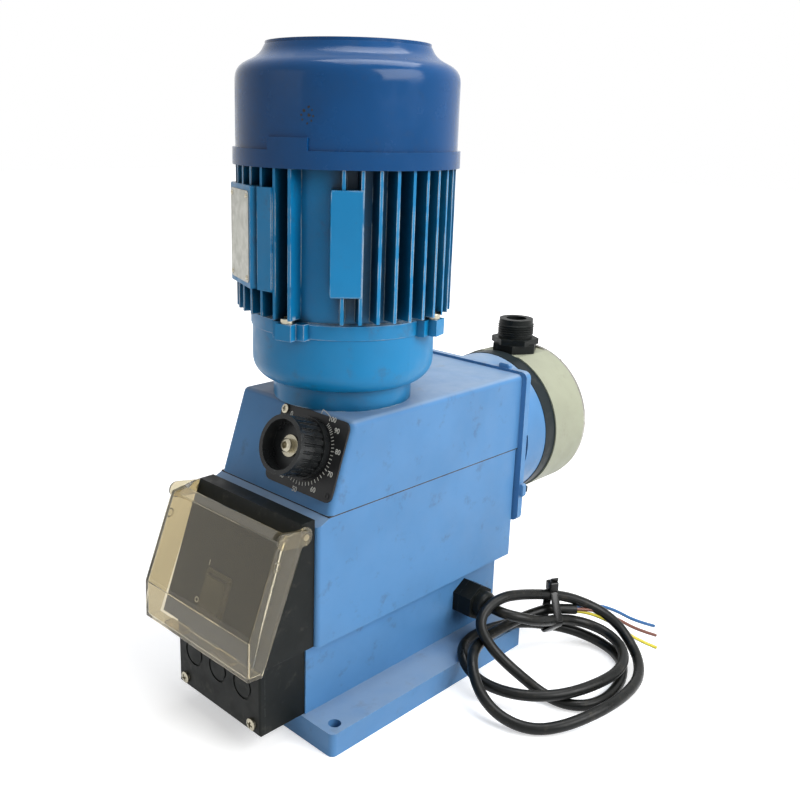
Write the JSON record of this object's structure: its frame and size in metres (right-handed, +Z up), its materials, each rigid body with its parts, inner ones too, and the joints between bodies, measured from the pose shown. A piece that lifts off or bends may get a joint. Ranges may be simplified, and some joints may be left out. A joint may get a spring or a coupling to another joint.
{
  "type": "diaphragm metering pump",
  "caption": "Motor-driven mechanical diaphragm metering pump with worm gearbox, stroke knob, ball-valve liquid end, control box under a clear cover and a tied supply cable.",
  "frame": {"origin": "centre of the four foot bolts, on the floor", "axes": "+Z up along the motor, -Y towards the front with the stroke knob and control box, +Y towards the pump head"},
  "size_m": [0.2405, 0.3432, 0.423],
  "materials": {
    "blue_paint": "satin epoxy paint, light blue",
    "motor_blue": "satin enamel on die-cast aluminium, teal blue",
    "cowl_blue": "glossy moulded plastic, deep blue",
    "steel": "machined",
    "zinc_steel": "zinc plated",
    "dark_steel": "oiled",
    "bronze": "cast bronze",
    "copper": "lacquered winding wire",
    "black_plastic": "moulded, fine grain",
    "grey_plastic": "moulded",
    "dark_pvc": "machined",
    "cream_pp": "machined polypropylene",
    "clear_plastic": "clear polycarbonate",
    "white_plastic": "moulded",
    "ptfe": "PTFE faced",
    "gasket": "gasket sheet",
    "glass": "ground ball",
    "green_board": "glass-fibre board",
    "cable_grey": "smooth PVC sheath",
    "blue_core": "smooth PVC",
    "brown_core": "smooth PVC",
    "green_yellow_core": "smooth PVC, yellow with a green stripe"
  },
  "bodies": {
    "pump": {"gearbox_housing": "blue_paint", "cover_seal": "gasket", "top_cover": "blue_paint", "scale_plate": "black_plastic", "scale_screws": "zinc_steel", "lantern_flange": "blue_paint", "rod_bush": "bronze", "backing_ring": "dark_pvc", "pump_head": "cream_pp", "head_end_plate": "steel", "head_bolts": "zinc_steel", "discharge_connector": "black_plastic", "suction_connector": "black_plastic", "discharge_seat": "dark_pvc", "suction_seat": "dark_pvc", "motor_adapter": "blue_paint", "end_shield": "motor_blue", "shield_screws": "zinc_steel", "motor_frame": "motor_blue", "stator_core": "dark_steel", "stator_windings": "copper", "rear_end_shield": "motor_blue", "motor_bearings": "steel", "fan_cowl": "cowl_blue", "gear_shaft_bearings": "steel", "control_box": "black_plastic", "hinge_pins": "zinc_steel", "switch_frame": "black_plastic", "circuit_board": "green_board", "terminal_box": "black_plastic", "terminal_lid": "black_plastic", "lid_screws": "zinc_steel", "terminal_block": "white_plastic", "cable_gland": "black_plastic", "gland_nut": "black_plastic", "cable_tail": "cable_grey", "cable_coil": "cable_grey", "cable_end": "cable_grey", "core_blue": "blue_core", "core_brown": "brown_core", "core_green_yellow": "green_yellow_core", "cable_tie": "black_plastic"},
    "rotor": {"motor_shaft": "steel", "rotor_core": "dark_steel", "cooling_fan": "grey_plastic", "worm": "dark_steel"},
    "gear_train": {"worm_wheel": "bronze", "gear_shaft": "steel"},
    "cam_ring": {"cam_roller": "steel"},
    "rod": {"push_rod": "steel", "diaphragm_core": "steel", "return_spring": "steel", "diaphragm": "ptfe"},
    "knob": {"stroke_knob": "black_plastic", "knob_screw": "zinc_steel"},
    "spindle": {"stop_spindle": "steel"},
    "cover": {"clear_cover": "clear_plastic"},
    "rocker": {"switch_rocker": "black_plastic"},
    "upper_valve": {"discharge_ball": "glass"},
    "lower_valve": {"suction_ball": "glass"}
  },
  "joints": [
    {"name": "rotor_spin", "type": "hinge", "parent": "pump", "child": "rotor", "pos_m": [0, -0.026, 0.238], "axis": [0, 0, 1], "continuous": true},
    {"name": "wheel_spin", "type": "hinge", "parent": "pump", "child": "gear_train", "pos_m": [0, 0.011, 0.151], "axis": [1, 0, 0], "continuous": true},
    {"name": "cam_roller_spin", "type": "hinge", "parent": "gear_train", "child": "cam_ring", "pos_m": [-0.015, 0.015, 0.151], "axis": [1, 0, 0], "continuous": true},
    {"name": "rod_stroke", "type": "slide", "parent": "pump", "child": "rod", "axis": [0, 1, 0], "range_m": [0, 0.008], "stiffness_N_per_m": 2500, "springref_m": -0.01, "deforming": ["return_spring", "diaphragm"]},
    {"name": "knob_turn", "type": "hinge", "parent": "pump", "child": "knob", "pos_m": [0.021, -0.07484, 0.18332], "axis": [0, -0.9452, 0.3265], "range_deg": [0, 300]},
    {"name": "spindle_advance", "type": "slide", "parent": "pump", "child": "spindle", "axis": [0, 0.9452, -0.3265], "range_m": [0, 0.006]},
    {"name": "cover_hinge", "type": "hinge", "parent": "pump", "child": "cover", "pos_m": [0, -0.105, 0.144], "axis": [-1, 0, 0], "range_deg": [0, 100]},
    {"name": "switch_rock", "type": "hinge", "parent": "pump", "child": "rocker", "pos_m": [-0.005, -0.127, 0.09178], "axis": [1, 0, 0], "range_deg": [-8, 8]},
    {"name": "discharge_ball_lift", "type": "slide", "parent": "pump", "child": "upper_valve", "axis": [0, 0, 1], "range_m": [0, 0.003]},
    {"name": "suction_ball_lift", "type": "slide", "parent": "pump", "child": "lower_valve", "axis": [0, 0, 1], "range_m": [0, 0.003]}
  ],
  "couplings": [
    {"joint": "wheel_spin", "follows": "rotor_spin", "ratio": 0.041667},
    {"joint": "spindle_advance", "follows": "knob_turn", "m_per_rad": 0.0011459}
  ]
}
